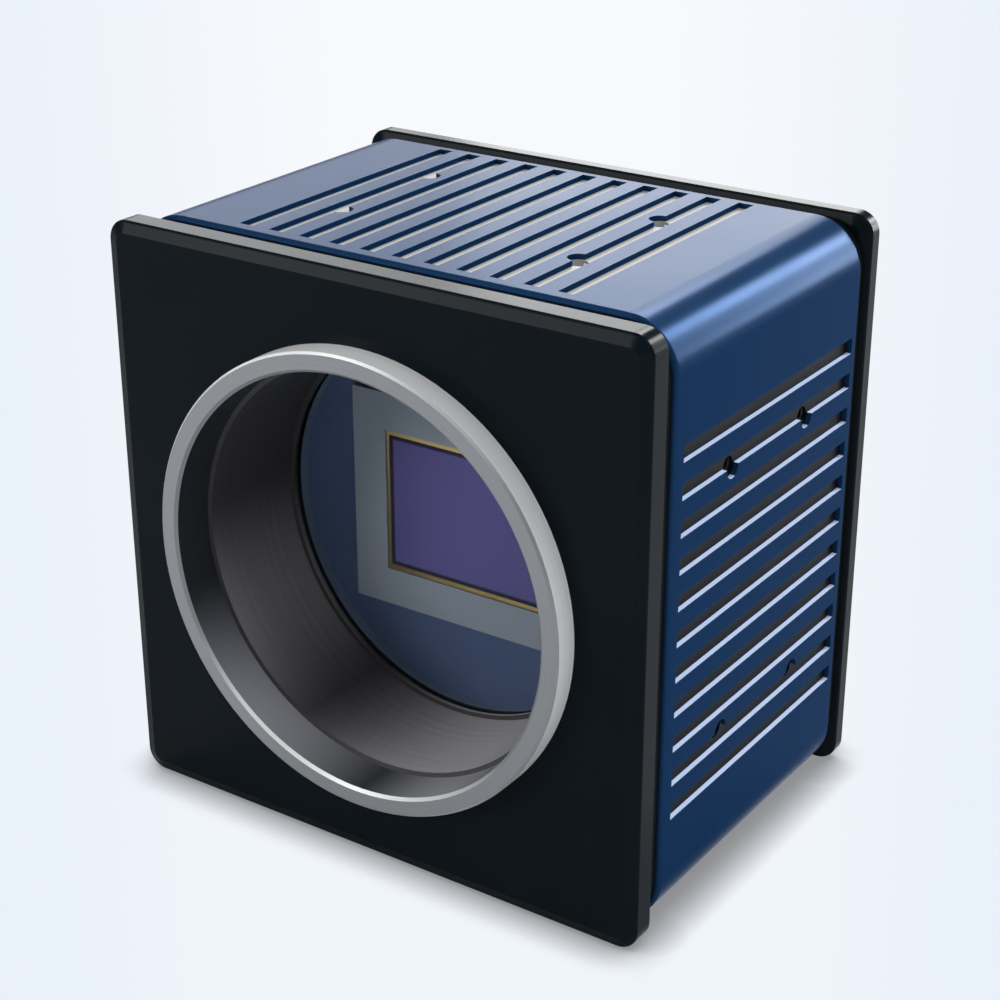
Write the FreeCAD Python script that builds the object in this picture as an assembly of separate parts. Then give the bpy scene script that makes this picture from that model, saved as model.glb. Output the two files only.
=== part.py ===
import FreeCAD, Part
import math
import os

# Machine vision camera body with a large threaded lens mount and no lens fitted.
# Millimetres. +X is to the right as one faces the lens mount, +Y runs back along the
# optical axis and +Z is up. The origin is the centre of the lens mount's front face.

# ---- Driving dimensions ------------------------------------------------------------

# Lens mount ring, with an M58 x 0.75 internal thread
thread_crest_r = 28.6
thread_depth = 6.3
ring_wall = 2.65
ring_stand = 3.6
ring_outer_chamfer = 0.3
ring_inner_chamfer = 0.4
spigot_wall = 1.8

# Front and back plates
body_width = 81.4
plate_corner = 2.9
front_plate_t = 3.9
back_plate_t = 2.8
bevel_width = 1.6
bevel_depth = 0.53
bevel_round = 0.4
plate_rear_chamfer = 0.25

# Slotted sleeve
sleeve_inset = 0.15
sleeve_corner = 6.9
sleeve_wall = 0.7
sleeve_length = 47.6
sleeve_round = 0.6
front_gap = 2.2
back_gap = 1.8

# Slots and side fixing holes, the same on all four sides
slot_count = 11
slot_pitch = 4.83
slot_width = 2.19
slot_length = 44.0
slot_start = 2.15
side_hole_spacing_across = 36.4
side_hole_spacing_along = 19.5
side_hole_r = 1.45
side_tap_r = 1.25
side_tap_depth = 4.5
side_pad_r = 3.5
side_pad_t = 2.5

# Inner chassis
chassis_wall = 3.0
bulkhead_t = 3.0
tie_inset = 2.8
tie_boss_r = 3.6
tie_hole_r = 1.6

# Light path: barrel, filter window and its fixings
barrel_lip = 0.6
barrel_lip_depth = 0.15
barrel_wall = 4.0
filter_t = 1.0
retainer_width = 0.7
retainer_t = 0.4
filter_seal_t = 0.3
filter_seal_width = 0.4
filter_ledge = 0.45
sensor_frame_t = 1.5

# Image sensor
sensor_plane = 25.5
package_width = 36.6
package_height = 31.5
package_above_die = 0.3
package_below_die = 0.3
bond_frame_side = 0.45
bond_frame_end = 0.65
bond_frame_t = 0.05
bond_frame_above_die = 0.05
die_width = 24.7
die_height = 19.2
die_t = 0.3
die_clearance = 0.1
cover_glass_t = 0.5
cover_glass_inset = 0.4

# Boards and what carries them
board_t = 1.6
board_gap = 0.8
post_r = 2.5
stud_r = 1.25
stud_length = 2.4
spacer_r = 2.2
front_spacer_length = 7.0
rear_spacer_length = 10.0
screw_head_r = 2.2
screw_head_t = 1.5
screw_grip = 4.0
screw_tip_gap = 1.0
screw_socket_r = 0.85
screw_socket_depth = 0.8

# Cooling pads and chips
sensor_pad_width = 24.0
sensor_pad_height = 20.0
pad_t = 1.0
sensor_pedestal_t = 1.0
processor_width = 23.0
processor_t = 2.3
memory_width = 9.0
memory_height = 13.0
memory_t = 1.1
memory_offset_x = 18.5
memory_offset_z = 8.0
power_module_width = 22.0
power_module_height = 16.0
power_module_t = 4.5

# Board-to-board connectors
link_width = 22.0
link_height = 4.6
link_drop = 22.0
link_window_clearance = 1.2

# Rear connectors
coax_count = 4
coax_pitch = 13.0
coax_rise = 13.0
coax_base = 7.4
coax_base_gap = 0.2
coax_collar_r = 3.6
coax_collar_stand = 1.4
coax_nose_r = 2.6
coax_nose_length = 6.0
coax_bore_r = 1.7
coax_recess = 2.2
coax_pin_r = 0.35
coax_pin_recess = 1.0
power_x = -15.0
power_drop = 15.0
power_thread_r = 6.0
power_bore_r = 4.5
power_flange_r = 7.6
power_flange_t = 1.5
power_nose_length = 7.0
power_cavity = 6.0
power_inner_length = 6.5
power_nut_flat = 15.0
power_nut_t = 2.4
power_pin_r = 0.4
power_pin_recess = 1.2
power_outer_pins = 9
power_outer_circle_r = 3.0
power_inner_pins = 3
power_inner_circle_r = 1.2
light_x = 16.0
light_drop = 15.0
light_r = 1.5
light_stand = 0.4
led_size = 2.4
led_t = 0.9

# Tie screws, countersunk in the back plate and threaded into the front plate
tie_screw_r = 1.5
tie_head_r = 2.9
tie_head_t = 1.6
tie_thread_depth = 2.8
tie_socket_r = 1.0
tie_socket_depth = 1.0

# Clearances
thread_fit = 0.02
spigot_fit = 0.05
filter_fit = 0.15
sleeve_fit = 0.05
panel_fit = 0.15

# ---- Sizes and places that follow --------------------------------------------------

plate_half = body_width / 2
sleeve_half = plate_half - sleeve_inset
chassis_half = sleeve_half - sleeve_wall - sleeve_fit
chassis_corner = sleeve_corner - sleeve_wall - sleeve_fit
chassis_inner_half = chassis_half - chassis_wall
tie_offset = chassis_inner_half - tie_inset

front_plate_y = ring_stand
chassis_y = front_plate_y + front_plate_t
sleeve_y = chassis_y + front_gap
sleeve_end_y = sleeve_y + sleeve_length
back_plate_y = sleeve_end_y + back_gap
back_face_y = back_plate_y + back_plate_t
slots_y = sleeve_y + slot_start
slots_middle_y = slots_y + slot_length / 2

ring_r = thread_crest_r + ring_wall
spigot_r = thread_crest_r + spigot_wall
barrel_bore_r = thread_crest_r - barrel_lip
barrel_r = barrel_bore_r + barrel_wall
filter_r = barrel_bore_r - filter_fit
retainer_bore_r = barrel_bore_r - retainer_width
sensor_frame_bore_r = filter_r - filter_ledge

die_well_width = die_width + 2 * die_clearance
die_well_height = die_height + 2 * die_clearance
bond_frame_width = die_well_width + 2 * bond_frame_side
bond_frame_height = die_well_height + 2 * bond_frame_end

# The stack behind the filter is set out from the sensor's image plane.
package_y = sensor_plane - package_above_die
package_t = package_above_die + die_t + package_below_die
sensor_board_y = package_y + package_t
sensor_board_end_y = sensor_board_y + board_t
sensor_frame_y = sensor_board_y - sensor_frame_t
filter_y = sensor_frame_y - filter_seal_t - filter_t
retainer_y = filter_y - retainer_t

# Posts stand on the diagonals, midway between the barrel and the tie bosses, and set
# every board's holes. Boards clear the tapped pads, and their round corners clear the bosses.
diagonal = math.sqrt(2)
boss_reach = tie_offset * diagonal - tie_boss_r
post_offset = (barrel_r + boss_reach) / 2 / diagonal
board_half = chassis_inner_half - side_pad_t - board_gap
board_corner = (board_half * diagonal - boss_reach + board_gap) / (diagonal - 1)

# Boards behind the bulkhead
bulkhead_y = sensor_board_end_y + pad_t + sensor_pedestal_t
bulkhead_end_y = bulkhead_y + bulkhead_t
processing_y = bulkhead_end_y + front_spacer_length
processing_end_y = processing_y + board_t
interface_y = processing_end_y + rear_spacer_length
interface_end_y = interface_y + board_t
processor_y = processing_y - processor_t
processor_pad_y = processor_y - pad_t


# ---- Shape helpers -----------------------------------------------------------------

def vec(x, y, z):
    return FreeCAD.Vector(x, y, z)


def rounded_wire(width, height, radius, y):
    """Rounded rectangle across the optical axis at depth y."""
    w = width / 2
    h = height / 2
    cut = radius * (1 - math.sqrt(0.5))
    edges = []
    for sx, sz in ((1, 1), (-1, 1), (-1, -1), (1, -1)):
        middle = vec(sx * (w - cut), y, sz * (h - cut))
        on_side = vec(sx * w, y, sz * (h - radius))
        on_top = vec(sx * (w - radius), y, sz * h)
        ends = (on_side, on_top) if sx == sz else (on_top, on_side)
        edges.append((ends[0], middle, ends[1]))
    outline = []
    for index, (start, middle, end) in enumerate(edges):
        outline.append(Part.Arc(start, middle, end).toShape())
        following = edges[(index + 1) % len(edges)][0]
        outline.append(Part.LineSegment(end, following).toShape())
    return Part.Wire(outline)


def rounded_plate(width, height, radius, y, thickness):
    """Rounded rectangular plate from depth y back."""
    face = Part.Face(rounded_wire(width, height, radius, y))
    return face.extrude(vec(0, thickness, 0))


def block(width, height, y, length, x=0.0, z=0.0):
    """Plain block centred on x and z, from depth y back."""
    corner = vec(x - width / 2, y, z - height / 2)
    return Part.makeBox(width, length, height, corner)


def rod(radius, y, length, x=0.0, z=0.0):
    """Cylinder along the optical axis, from depth y back."""
    return Part.makeCylinder(radius, length, vec(x, y, z), vec(0, 1, 0))


def tube(outer_r, inner_r, y, length, x=0.0, z=0.0):
    """Ring or tube along the optical axis."""
    return rod(outer_r, y, length, x, z).cut(rod(inner_r, y, length, x, z))


def turned(profile, x=0.0, z=0.0):
    """Solid turned about the optical axis, or a line parallel to it, from radius and depth pairs."""
    points = [vec(radius, y, 0) for radius, y in profile]
    face = Part.Face(Part.makePolygon(points + points[:1]))
    solid = face.revolve(vec(0, 0, 0), vec(0, 1, 0), 360)
    solid.translate(vec(x, 0, z))
    return solid


def hexagon(across_flats, y, length, x=0.0, z=0.0):
    """Hexagonal prism along the optical axis."""
    radius = across_flats / math.sqrt(3)
    corners = []
    for step in range(6):
        angle = math.radians(60 * step)
        corners.append(vec(x + radius * math.cos(angle), y, z + radius * math.sin(angle)))
    face = Part.Face(Part.makePolygon(corners + corners[:1]))
    return face.extrude(vec(0, length, 0))


def four_corners(offset):
    """The four places at plus and minus offset in x and z."""
    return [(sx * offset, sz * offset) for sx in (-1, 1) for sz in (-1, 1)]


def on_four_sides(shape):
    """Copies of a shape made on the top side, turned about the optical axis to each side."""
    copies = []
    for quarter in range(4):
        copy = shape.copy()
        copy.rotate(vec(0, 0, 0), vec(0, 1, 0), 90 * quarter)
        copies.append(copy)
    return Part.makeCompound(copies)


def outline_edges(shape, y, at_least):
    """Edges that lie flat at depth y, at least that far from the optical axis."""
    found = []
    for edge in shape.Edges:
        box = edge.BoundBox
        flat = abs(box.YMin - y) < 1e-4 and abs(box.YMax - y) < 1e-4
        reach = max(abs(box.XMin), abs(box.XMax), abs(box.ZMin), abs(box.ZMax))
        if flat and reach > at_least:
            found.append(edge)
    return found


# ---- Plates ------------------------------------------------------------------------

def beveled_plate(y, thickness):
    """Square plate with a shallow rounded bevel round its front face."""
    shoulder_y = y + bevel_depth
    body = rounded_plate(body_width, body_width, plate_corner, shoulder_y, thickness - bevel_depth)
    rear = outline_edges(body, y + thickness, plate_half - plate_corner - 1)
    body = body.makeChamfer(plate_rear_chamfer, rear)
    face_width = body_width - 2 * bevel_width
    wires = [
        rounded_wire(face_width, face_width, plate_corner - bevel_width, y),
        rounded_wire(body_width, body_width, plate_corner, shoulder_y),
    ]
    body = body.fuse(Part.makeLoft(wires, True, True)).removeSplitter()
    shoulder = outline_edges(body, shoulder_y, plate_half - 1)
    return body.makeFillet(bevel_round, shoulder)


def front_plate():
    """Front plate: bore for the mount ring, blind tapped holes behind for the ties and posts."""
    plate = beveled_plate(front_plate_y, front_plate_t)
    cuts = [rod(spigot_r + spigot_fit, front_plate_y, front_plate_t)]
    for x, z in four_corners(tie_offset):
        cuts.append(rod(tie_screw_r + thread_fit, chassis_y - tie_thread_depth, tie_thread_depth, x, z))
    for x, z in four_corners(post_offset):
        cuts.append(rod(stud_r + thread_fit, chassis_y - stud_length, stud_length, x, z))
    return plate.cut(cuts)


def back_plate():
    """Back plate: openings for the connectors and the status light, countersinks for the ties."""
    plate = beveled_plate(back_plate_y, back_plate_t)
    cuts = [
        rod(power_thread_r + panel_fit, back_plate_y, back_plate_t, power_x, -power_drop),
        rod(light_r + thread_fit, back_plate_y, back_plate_t, light_x, -light_drop),
    ]
    for x in coax_places():
        cuts.append(rod(coax_collar_r + panel_fit, back_plate_y, back_plate_t, x, coax_rise))
    for x, z in four_corners(tie_offset):
        cuts.append(rod(tie_hole_r, back_plate_y, back_plate_t, x, z))
        cuts.append(countersunk_head(x, z))
    return plate.cut(cuts)


# ---- Lens mount and light path -----------------------------------------------------

def lens_mount_ring():
    """Turned ring: flange on the front plate's face, threaded spigot through the plate."""
    return turned([
        (thread_crest_r + ring_inner_chamfer, 0),
        (ring_r - ring_outer_chamfer, 0),
        (ring_r, ring_outer_chamfer),
        (ring_r, ring_stand),
        (spigot_r, ring_stand),
        (spigot_r, thread_depth),
        (thread_crest_r, thread_depth),
        (thread_crest_r, ring_inner_chamfer),
    ])


def mount_barrel():
    """Black turned barrel: nose in the plate's bore, shoulder behind it, bore for the filter."""
    return turned([
        (thread_crest_r, thread_depth),
        (spigot_r, thread_depth),
        (spigot_r, chassis_y),
        (barrel_r, chassis_y),
        (barrel_r, sensor_frame_y),
        (barrel_bore_r, sensor_frame_y),
        (barrel_bore_r, thread_depth + barrel_lip_depth),
    ])


def filter_window():
    return rod(filter_r, filter_y, filter_t)


def filter_retaining_ring():
    """Thin threaded ring that clamps the filter window from the front."""
    return tube(barrel_bore_r - thread_fit, retainer_bore_r, retainer_y, retainer_t)


def filter_seal():
    return tube(filter_r, filter_r - filter_seal_width, filter_y + filter_t, filter_seal_t)


# ---- Image sensor ------------------------------------------------------------------

def board_blank(y, thickness):
    """Board outline with a clearance hole at each corner."""
    size = 2 * board_half
    blank = rounded_plate(size, size, board_corner, y, thickness)
    holes = [rod(stud_r + panel_fit, y, thickness, x, z) for x, z in four_corners(post_offset)]
    return blank.cut(holes)


def sensor_frame():
    """Plate that stops the filter, with a round window to the sensor."""
    return board_blank(sensor_frame_y, sensor_frame_t).cut(
        rod(sensor_frame_bore_r, sensor_frame_y, sensor_frame_t))


def sensor_package():
    """Ceramic package: a well for the die with a step round it for the bond frame."""
    body = block(package_width, package_height, package_y, package_t)
    step_depth = package_above_die - bond_frame_above_die + bond_frame_t
    step = block(bond_frame_width, bond_frame_height, package_y, step_depth)
    well = block(die_well_width, die_well_height, package_y, package_above_die + die_t)
    return body.cut([step, well])


def sensor_bond_frame():
    y = sensor_plane - bond_frame_above_die
    frame = block(bond_frame_width, bond_frame_height, y, bond_frame_t)
    return frame.cut(block(die_well_width, die_well_height, y, bond_frame_t))


def sensor_die():
    return block(die_width, die_height, sensor_plane, die_t)


def sensor_cover_glass():
    return block(package_width - 2 * cover_glass_inset, package_height - 2 * cover_glass_inset,
                 package_y - cover_glass_t, cover_glass_t)


def sensor_posts():
    """Four pillars between the front plate and the sensor frame, each with a stud in front."""
    length = sensor_frame_y - chassis_y
    tapped_depth = screw_grip + screw_tip_gap
    posts = []
    for x, z in four_corners(post_offset):
        pillar = rod(post_r, chassis_y, length, x, z)
        stud = rod(stud_r, chassis_y - stud_length, stud_length, x, z)
        tapped = rod(stud_r + thread_fit, sensor_frame_y - tapped_depth, tapped_depth, x, z)
        posts.append(pillar.fuse(stud).cut(tapped))
    return Part.makeCompound(posts)


def pan_head_screws(seat_y, length):
    """Four board screws with a hexagon socket, driven from behind at the board holes."""
    screws = []
    for x, z in four_corners(post_offset):
        body = rod(screw_head_r, seat_y, screw_head_t, x, z)
        body = body.fuse(rod(stud_r, seat_y - length, length, x, z))
        socket_y = seat_y + screw_head_t - screw_socket_depth
        socket = hexagon(2 * screw_socket_r, socket_y, screw_socket_depth, x, z)
        screws.append(body.cut(socket))
    return Part.makeCompound(screws)


def sensor_screws():
    return pan_head_screws(sensor_board_end_y, sensor_frame_t + board_t + screw_grip)


# ---- Chassis and sleeve ------------------------------------------------------------

def side_hole_places():
    """Across and along the side: the four fixing holes, centred on the slots."""
    across = side_hole_spacing_across / 2
    along = side_hole_spacing_along / 2
    return [(sx * across, slots_middle_y + sy * along) for sx in (-1, 1) for sy in (-1, 1)]


def upright(radius, x, y, low, high):
    """Cylinder square to the top side, between two heights."""
    return Part.makeCylinder(radius, high - low, vec(x, y, low), vec(0, 0, 1))


def inner_chassis():
    """Square chassis: outer walls, cross bulkhead with cooling pedestals, tie bosses, tapped pads."""
    length = back_plate_y - chassis_y
    outer = rounded_plate(2 * chassis_half, 2 * chassis_half, chassis_corner, chassis_y, length)
    inner_corner = chassis_corner - chassis_wall
    inner = rounded_plate(2 * chassis_inner_half, 2 * chassis_inner_half, inner_corner,
                          chassis_y, length)
    chassis = outer.cut(inner)

    bulkhead = rounded_plate(2 * chassis_inner_half, 2 * chassis_inner_half, inner_corner,
                             bulkhead_y, bulkhead_t)
    adds = [
        bulkhead,
        block(sensor_pad_width, sensor_pad_height, bulkhead_y - sensor_pedestal_t,
              sensor_pedestal_t),
        block(processor_width, processor_width, bulkhead_end_y,
              processor_pad_y - bulkhead_end_y),
    ]
    for x, z in four_corners(tie_offset):
        adds.append(rod(tie_boss_r, chassis_y, length, x, z).common(outer))
    pads = []
    for x, y in side_hole_places():
        pads.append(upright(side_pad_r, x, y, chassis_inner_half - side_pad_t,
                            chassis_inner_half + chassis_wall / 2))
    adds.append(on_four_sides(Part.makeCompound(pads)))
    chassis = chassis.fuse(adds)

    cuts = [rod(tie_hole_r, chassis_y, length, x, z) for x, z in four_corners(tie_offset)]
    for x, z in four_corners(post_offset):
        cuts.append(rod(stud_r + thread_fit, bulkhead_end_y - stud_length, stud_length, x, z))
    cuts.append(block(link_width + 2 * link_window_clearance, link_height + 2 * link_window_clearance,
                      bulkhead_y, bulkhead_t, 0, -link_drop))
    taps = []
    for x, y in side_hole_places():
        taps.append(upright(side_tap_r, x, y, chassis_half - side_tap_depth, chassis_half))
    cuts.append(on_four_sides(Part.makeCompound(taps)))
    return chassis.cut(cuts).removeSplitter()


def body_sleeve():
    """Thin square sleeve with long slots and fixing holes on all four sides."""
    inner_half = sleeve_half - sleeve_wall
    outer = rounded_plate(2 * sleeve_half, 2 * sleeve_half, sleeve_corner, sleeve_y, sleeve_length)
    inner = rounded_plate(2 * inner_half, 2 * inner_half, sleeve_corner - sleeve_wall,
                          sleeve_y, sleeve_length)
    rims = outline_edges(outer, sleeve_y, 0) + outline_edges(outer, sleeve_end_y, 0)
    sleeve = outer.makeFillet(sleeve_round, rims).cut(inner)
    low = inner_half - sleeve_fit
    cuts = []
    for index in range(slot_count):
        x = (index - (slot_count - 1) / 2) * slot_pitch
        corner = vec(x - slot_width / 2, slots_y, low)
        cuts.append(Part.makeBox(slot_width, slot_length, sleeve_half - low + sleeve_fit, corner))
    for x, y in side_hole_places():
        cuts.append(upright(side_hole_r, x, y, low, sleeve_half + sleeve_fit))
    one_side = cuts[0].fuse(cuts[1:])
    return sleeve.cut(on_four_sides(one_side))


# ---- Boards, pads and chips --------------------------------------------------------

def sensor_board():
    return board_blank(sensor_board_y, board_t)


def processing_board():
    return board_blank(processing_y, board_t)


def interface_board():
    return board_blank(interface_y, board_t)


def sensor_thermal_pad():
    return block(sensor_pad_width, sensor_pad_height, sensor_board_end_y, pad_t)


def processor_thermal_pad():
    return block(processor_width, processor_width, processor_pad_y, pad_t)


def processor_chip():
    return block(processor_width, processor_width, processor_y, processor_t)


def memory_chips():
    chips = []
    for sx in (-1, 1):
        for sz in (-1, 1):
            chips.append(block(memory_width, memory_height, processing_y - memory_t, memory_t,
                               sx * memory_offset_x, sz * memory_offset_z))
    return Part.makeCompound(chips)


def power_module():
    return block(power_module_width, power_module_height, interface_y - power_module_t,
                 power_module_t, 0, coax_rise)


def spacers(y, length, stud_reach, tapped_depth):
    """Four round spacers with a stud in front and a tapped hole behind."""
    made = []
    for x, z in four_corners(post_offset):
        body = rod(spacer_r, y, length, x, z)
        stud = rod(stud_r, y - stud_reach, stud_reach, x, z)
        tapped = rod(stud_r + thread_fit, y + length - tapped_depth, tapped_depth, x, z)
        made.append(body.fuse(stud).cut(tapped))
    return Part.makeCompound(made)


def front_spacers():
    return spacers(bulkhead_end_y, front_spacer_length, stud_length, stud_length)


def rear_spacers():
    return spacers(processing_end_y, rear_spacer_length, board_t + stud_length,
                   screw_grip + screw_tip_gap)


def board_screws():
    return pan_head_screws(interface_end_y, board_t + screw_grip)


def link_half(y, length):
    return block(link_width, link_height, y, length, 0, -link_drop)


def sensor_link_plug():
    return link_half(sensor_board_end_y, (processing_y - sensor_board_end_y) / 2)


def sensor_link_socket():
    half = (processing_y - sensor_board_end_y) / 2
    return link_half(sensor_board_end_y + half, half)


def board_link_plug():
    return link_half(processing_end_y, rear_spacer_length / 2)


def board_link_socket():
    half = rear_spacer_length / 2
    return link_half(processing_end_y + half, half)


# ---- Rear connectors ---------------------------------------------------------------

def coax_places():
    return [(index - (coax_count - 1) / 2) * coax_pitch for index in range(coax_count)]


coax_collar_y = back_plate_y - coax_base_gap
coax_nose_y = back_face_y + coax_collar_stand
coax_mouth_y = coax_nose_y + coax_nose_length


def coax_jack(x):
    """Jack shell: square base on the board, collar through the plate, bored nose."""
    base = block(coax_base, coax_base, interface_end_y, coax_collar_y - interface_end_y,
                 x, coax_rise)
    collar = rod(coax_collar_r, coax_collar_y, coax_nose_y - coax_collar_y, x, coax_rise)
    nose = rod(coax_nose_r, coax_nose_y, coax_nose_length, x, coax_rise)
    bore = rod(coax_bore_r, interface_end_y, coax_mouth_y - interface_end_y, x, coax_rise)
    return base.fuse([collar, nose]).cut(bore)


def coax_pin(x):
    length = coax_mouth_y - coax_pin_recess - interface_end_y
    return rod(coax_pin_r, interface_end_y, length, x, coax_rise)


def coax_insulator(x):
    length = coax_mouth_y - coax_recess - interface_end_y
    return rod(coax_bore_r, interface_end_y, length, x, coax_rise).cut(coax_pin(x))


power_flange_end_y = back_face_y + power_flange_t
power_mouth_y = power_flange_end_y + power_nose_length
power_inner_y = back_plate_y - power_inner_length + back_plate_t


def power_connector_shell():
    """Round panel connector: flange outside the plate, threaded body through it, pin cavity."""
    x = power_x
    z = -power_drop
    body = rod(power_thread_r, power_inner_y, power_mouth_y - power_inner_y, x, z)
    flange = rod(power_flange_r, back_face_y, power_flange_t, x, z)
    bore = rod(power_bore_r, power_inner_y, power_mouth_y - power_inner_y, x, z)
    return body.fuse(flange).cut(bore)


def power_connector_nut():
    """Hexagon nut that clamps the connector from inside the plate."""
    nut_y = back_plate_y - power_nut_t
    nut = hexagon(power_nut_flat, nut_y, power_nut_t, power_x, -power_drop)
    return nut.cut(rod(power_thread_r + thread_fit, nut_y, power_nut_t, power_x, -power_drop))


def power_connector_pins():
    """Contacts from the board to just inside the mouth, on two circles."""
    length = power_mouth_y - power_pin_recess - interface_end_y
    pins = []
    circles = ((power_outer_pins, power_outer_circle_r), (power_inner_pins, power_inner_circle_r))
    for count, radius in circles:
        for step in range(count):
            angle = 2 * math.pi * step / count
            pins.append(rod(power_pin_r, interface_end_y, length,
                            power_x + radius * math.cos(angle),
                            -power_drop + radius * math.sin(angle)))
    return Part.makeCompound(pins)


def power_connector_insert():
    length = power_mouth_y - power_cavity - power_inner_y
    insert = rod(power_bore_r, power_inner_y, length, power_x, -power_drop)
    return insert.cut(power_connector_pins())


def status_led():
    return block(led_size, led_size, interface_end_y, led_t, light_x, -light_drop)


def status_light_pipe():
    """Clear rod from the light on the board to a slightly raised dome behind the plate."""
    start = interface_end_y + led_t
    pipe = rod(light_r, start, back_face_y + light_stand - start, light_x, -light_drop)
    tip = [edge for edge in pipe.Edges if abs(edge.BoundBox.YMin - pipe.BoundBox.YMax) < 1e-4]
    return pipe.makeFillet(light_stand, tip)


# ---- Tie screws --------------------------------------------------------------------

def countersunk_head(x, z):
    """Cone of a countersunk head, flush with the back plate's rear face."""
    return turned([
        (0, back_face_y - tie_head_t),
        (tie_screw_r, back_face_y - tie_head_t),
        (tie_head_r, back_face_y),
        (0, back_face_y),
    ], x, z)


def tie_screws():
    """Four long screws that pull both plates onto the chassis."""
    start = chassis_y - tie_thread_depth
    socket_y = back_face_y - tie_socket_depth
    screws = []
    for x, z in four_corners(tie_offset):
        shank = rod(tie_screw_r, start, back_face_y - tie_head_t - start, x, z)
        socket = hexagon(2 * tie_socket_r, socket_y, tie_socket_depth, x, z)
        screws.append(shank.fuse(countersunk_head(x, z)).cut(socket))
    return Part.makeCompound(screws)


# ---- Build -------------------------------------------------------------------------

def parts():
    """Every piece by its node name."""
    pieces = {
        "front_plate": front_plate(),
        "lens_mount_ring": lens_mount_ring(),
        "mount_barrel": mount_barrel(),
        "filter_retaining_ring": filter_retaining_ring(),
        "filter_window": filter_window(),
        "filter_seal": filter_seal(),
        "sensor_frame": sensor_frame(),
        "sensor_board": sensor_board(),
        "sensor_package": sensor_package(),
        "sensor_bond_frame": sensor_bond_frame(),
        "sensor_die": sensor_die(),
        "sensor_cover_glass": sensor_cover_glass(),
        "sensor_posts": sensor_posts(),
        "sensor_screws": sensor_screws(),
        "sensor_thermal_pad": sensor_thermal_pad(),
        "inner_chassis": inner_chassis(),
        "body_sleeve": body_sleeve(),
        "processing_board": processing_board(),
        "processor_chip": processor_chip(),
        "processor_thermal_pad": processor_thermal_pad(),
        "memory_chips": memory_chips(),
        "sensor_link_plug": sensor_link_plug(),
        "sensor_link_socket": sensor_link_socket(),
        "front_spacers": front_spacers(),
        "rear_spacers": rear_spacers(),
        "interface_board": interface_board(),
        "board_link_plug": board_link_plug(),
        "board_link_socket": board_link_socket(),
        "power_module": power_module(),
        "board_screws": board_screws(),
        "status_led": status_led(),
        "status_light_pipe": status_light_pipe(),
        "power_connector_shell": power_connector_shell(),
        "power_connector_insert": power_connector_insert(),
        "power_connector_pins": power_connector_pins(),
        "power_connector_nut": power_connector_nut(),
        "back_plate": back_plate(),
        "tie_screws": tie_screws(),
    }
    for number, x in enumerate(coax_places(), 1):
        pieces[f"coax_jack_{number}"] = coax_jack(x)
        pieces[f"coax_insulator_{number}"] = coax_insulator(x)
        pieces[f"coax_pin_{number}"] = coax_pin(x)
    return pieces


os.makedirs("parts", exist_ok=True)
for name, shape in parts().items():
    shape.exportStep(f"parts/{name}.step")
    print(name, len(shape.Solids), "solid(s)", round(shape.Volume, 3), "mm3", shape.isValid())
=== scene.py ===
"""Finishes, fine parts and studio of a cube-shaped machine vision camera.

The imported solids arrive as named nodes, in metres, with the lens mount's front face at the
origin and the optical axis along +Y. This script gives every node its finish, adds the small
parts that a maker would fit, and sets the object on a pale floor in soft light.
"""

import functools
import itertools
import logging
import math
from dataclasses import dataclass, field
from enum import Enum
from typing import Callable, Iterable, NamedTuple

import bmesh
import bpy
from mathutils import Matrix, Vector


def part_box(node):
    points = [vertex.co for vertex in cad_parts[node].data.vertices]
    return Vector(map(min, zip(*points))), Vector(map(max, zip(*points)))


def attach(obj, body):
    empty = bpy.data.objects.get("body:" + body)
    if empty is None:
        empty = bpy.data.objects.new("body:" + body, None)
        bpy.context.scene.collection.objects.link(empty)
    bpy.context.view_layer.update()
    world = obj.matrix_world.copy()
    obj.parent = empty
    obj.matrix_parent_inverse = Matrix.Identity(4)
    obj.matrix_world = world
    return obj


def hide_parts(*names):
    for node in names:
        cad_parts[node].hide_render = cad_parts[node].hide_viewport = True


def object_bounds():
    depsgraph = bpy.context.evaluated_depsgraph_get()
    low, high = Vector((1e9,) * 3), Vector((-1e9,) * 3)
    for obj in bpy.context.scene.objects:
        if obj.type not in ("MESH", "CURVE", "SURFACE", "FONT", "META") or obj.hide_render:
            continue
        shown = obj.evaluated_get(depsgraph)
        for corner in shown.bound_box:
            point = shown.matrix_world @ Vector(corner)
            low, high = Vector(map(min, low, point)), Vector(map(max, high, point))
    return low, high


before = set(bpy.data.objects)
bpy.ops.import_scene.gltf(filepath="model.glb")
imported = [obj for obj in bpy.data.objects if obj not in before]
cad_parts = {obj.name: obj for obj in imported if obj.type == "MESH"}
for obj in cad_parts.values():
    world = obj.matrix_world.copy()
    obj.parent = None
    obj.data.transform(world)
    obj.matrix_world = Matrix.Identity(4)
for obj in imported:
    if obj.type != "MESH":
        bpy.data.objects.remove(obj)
CAD_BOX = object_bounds()

MM = 0.001
log = logging.getLogger("machine_vision_camera")

Triple = tuple[float, float, float]
Colour = Triple
Socket = bpy.types.NodeSocket
Outputs = bpy.types.NodeOutputs
Surface = tuple[Socket, Socket, Socket]

TONE_SPAN = (0.3, 0.7)


class Slot(str, Enum):
    """The record's material slots."""

    BLACK_PLATE = "black_anodised"
    BLUE_SLEEVE = "blue_anodised"
    BRIGHT_RING = "bright_ring"
    BLACK_BORE = "black_bore"
    WINDOW = "window_glass"
    COVER_GLASS = "clear_glass"
    SEAL = "seal_rubber"
    FRAME = "grey_frame"
    BOARD = "circuit_board"
    CERAMIC = "ceramic"
    GOLD = "gold"
    SILICON = "silicon"
    STEEL = "steel_hardware"
    BLACK_HARDWARE = "black_hardware"
    THERMAL_PAD = "thermal_pad"
    CHIP = "chip_plastic"
    CONNECTOR = "connector_plastic"
    NICKEL = "nickel"
    INSULATOR = "insulator"
    LIGHT_PIPE = "light_plastic"


# ---- Shader groups -----------------------------------------------------------------

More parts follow.
